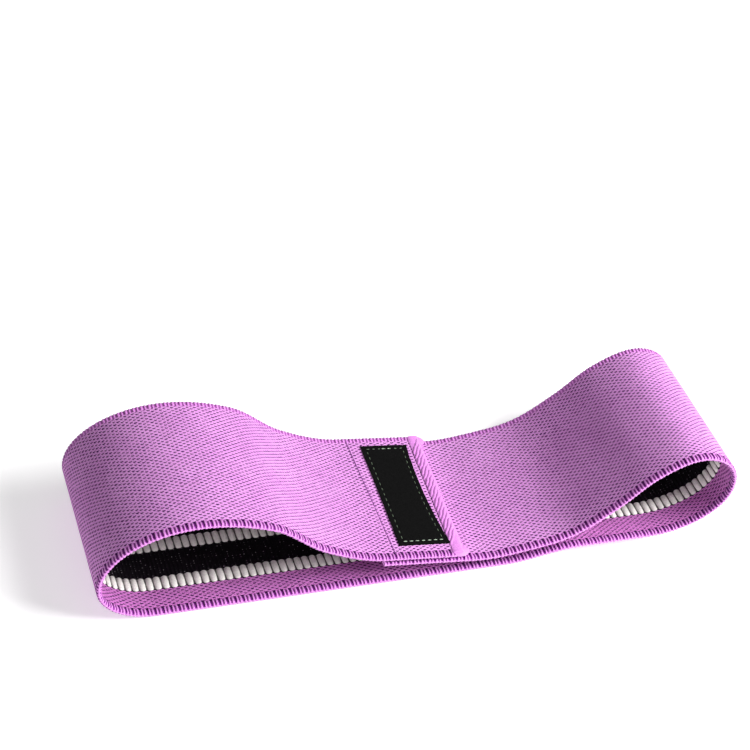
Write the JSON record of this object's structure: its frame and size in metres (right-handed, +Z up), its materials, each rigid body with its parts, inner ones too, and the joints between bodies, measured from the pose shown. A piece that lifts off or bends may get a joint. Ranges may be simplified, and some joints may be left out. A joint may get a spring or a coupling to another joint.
{
  "type": "resistance band",
  "caption": "Closed loop of wide woven elastic webbing with ribbed rubber grip strips inside, joined by a sewn overlap under a plain label.",
  "frame": {"origin": "middle of the loop's length and width, on the surface it lies on", "axes": "+X along the loop's length, from the larger left loop to the right loop; +Y across the webbing; +Z up"},
  "size_m": [0.2936, 0.08, 0.0508],
  "materials": {
    "outer_cloth": "matte woven elastic, fine staggered weave, purple",
    "edge_thread": "overlock and seam thread, slight sheen, light purple",
    "lining": "matte black woven inside cloth with a faint grid",
    "grip": "white ribbed latex strip, satin",
    "latex": "natural latex thread",
    "label": "plain matte black woven label",
    "label_thread": "pale grey-green stitching thread"
  },
  "bodies": {
    "base": {"front_edge_base": "edge_thread", "front_grip_base": "grip", "inner_margins_base": "outer_cloth", "latex_threads_base": "latex", "lining_base": "lining", "middle_grip_base": "grip", "outer_cloth_base": "outer_cloth", "rear_edge_base": "edge_thread", "rear_grip_base": "grip"},
    "left": {"front_edge_left": "edge_thread", "front_grip_left": "grip", "inner_margins_left": "outer_cloth", "latex_threads_left": "latex", "lining_left": "lining", "middle_grip_left": "grip", "outer_cloth_left": "outer_cloth", "rear_edge_left": "edge_thread", "rear_grip_left": "grip"},
    "right": {"front_edge_right": "edge_thread", "front_grip_right": "grip", "inner_margins_right": "outer_cloth", "latex_threads_right": "latex", "lining_right": "lining", "middle_grip_right": "grip", "outer_cloth_right": "outer_cloth", "rear_edge_right": "edge_thread", "rear_grip_right": "grip"},
    "top": {"end_binding": "edge_thread", "front_bar_tack": "edge_thread", "front_edge_under": "edge_thread", "front_edge_upper": "edge_thread", "front_grip_under": "grip", "front_grip_upper": "grip", "inner_margins_under": "outer_cloth", "inner_margins_upper": "outer_cloth", "join_seam": "edge_thread", "label": "label", "label_stitching": "label_thread", "latex_threads_under": "latex", "latex_threads_upper": "latex", "lining_under": "lining", "lining_upper": "lining", "middle_grip_under": "grip", "middle_grip_upper": "grip", "outer_cloth_under": "outer_cloth", "outer_cloth_upper": "outer_cloth", "rear_bar_tack": "edge_thread", "rear_edge_under": "edge_thread", "rear_edge_upper": "edge_thread", "rear_grip_under": "grip", "rear_grip_upper": "grip", "tail_binding": "edge_thread"}
  },
  "joints": [
    {"name": "left_stretch", "type": "slide", "parent": "base", "child": "left", "axis": [-1, 0, 0], "range_m": [0, 0.08], "stiffness_N_per_m": 1750},
    {"name": "right_stretch", "type": "slide", "parent": "base", "child": "right", "axis": [1, 0, 0], "range_m": [0, 0.08], "stiffness_N_per_m": 1750},
    {"name": "loop_open", "type": "slide", "parent": "base", "child": "top", "axis": [0, 0, 1], "range_m": [0, 0.04]}
  ]
}
